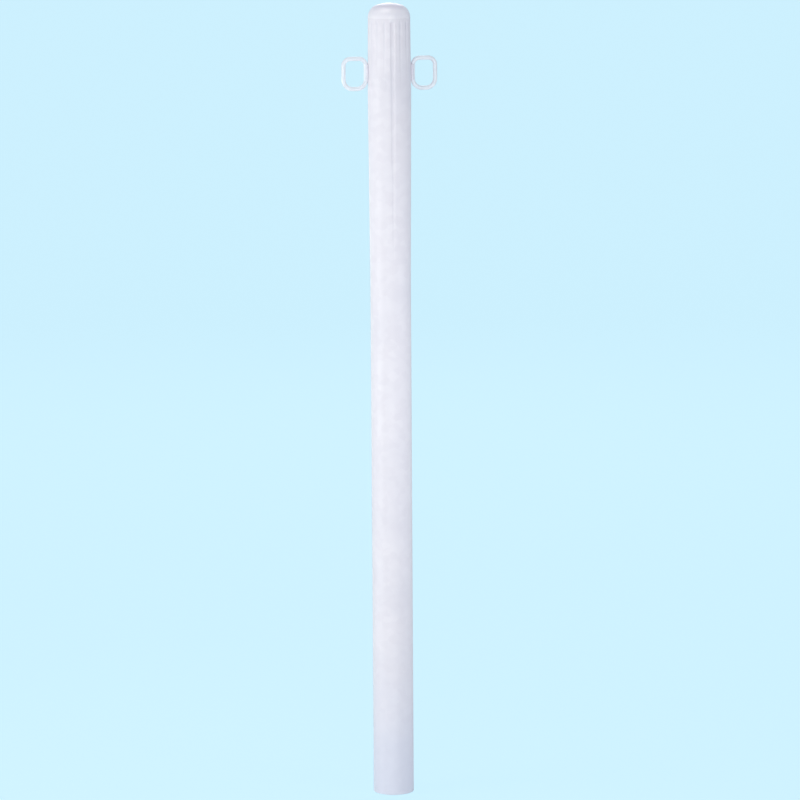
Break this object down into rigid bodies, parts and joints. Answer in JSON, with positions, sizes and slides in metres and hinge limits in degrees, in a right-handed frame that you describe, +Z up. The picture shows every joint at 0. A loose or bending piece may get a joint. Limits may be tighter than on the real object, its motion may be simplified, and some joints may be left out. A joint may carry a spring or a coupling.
{
  "type": "tubular steel chain bollard",
  "caption": "Slender tubular steel post with a domed cap, a flared head with pressed flutes and closed chain eyes welded on opposite sides, left open at its lower end for setting in the ground.",
  "frame": {"origin": "centre of the open lower end of the tube, on the tube's axis", "axes": "+Z up along the tube, the chain eyes along X, one long flute at the front (-Y) and one at the back (+Y)"},
  "size_m": [0.1806, 0.0804, 1.5],
  "materials": {
    "galvanised_tube": "satin",
    "galvanised_cap": "satin",
    "galvanised_bar": "satin",
    "galvanised_weld": "matt"
  },
  "bodies": {
    "root": {"post_tube": "galvanised_tube", "domed_cap": "galvanised_cap", "chain_eye_left": "galvanised_bar", "chain_eye_right": "galvanised_bar", "weld_left": "galvanised_weld", "weld_right": "galvanised_weld"}
  },
  "joints": []
}
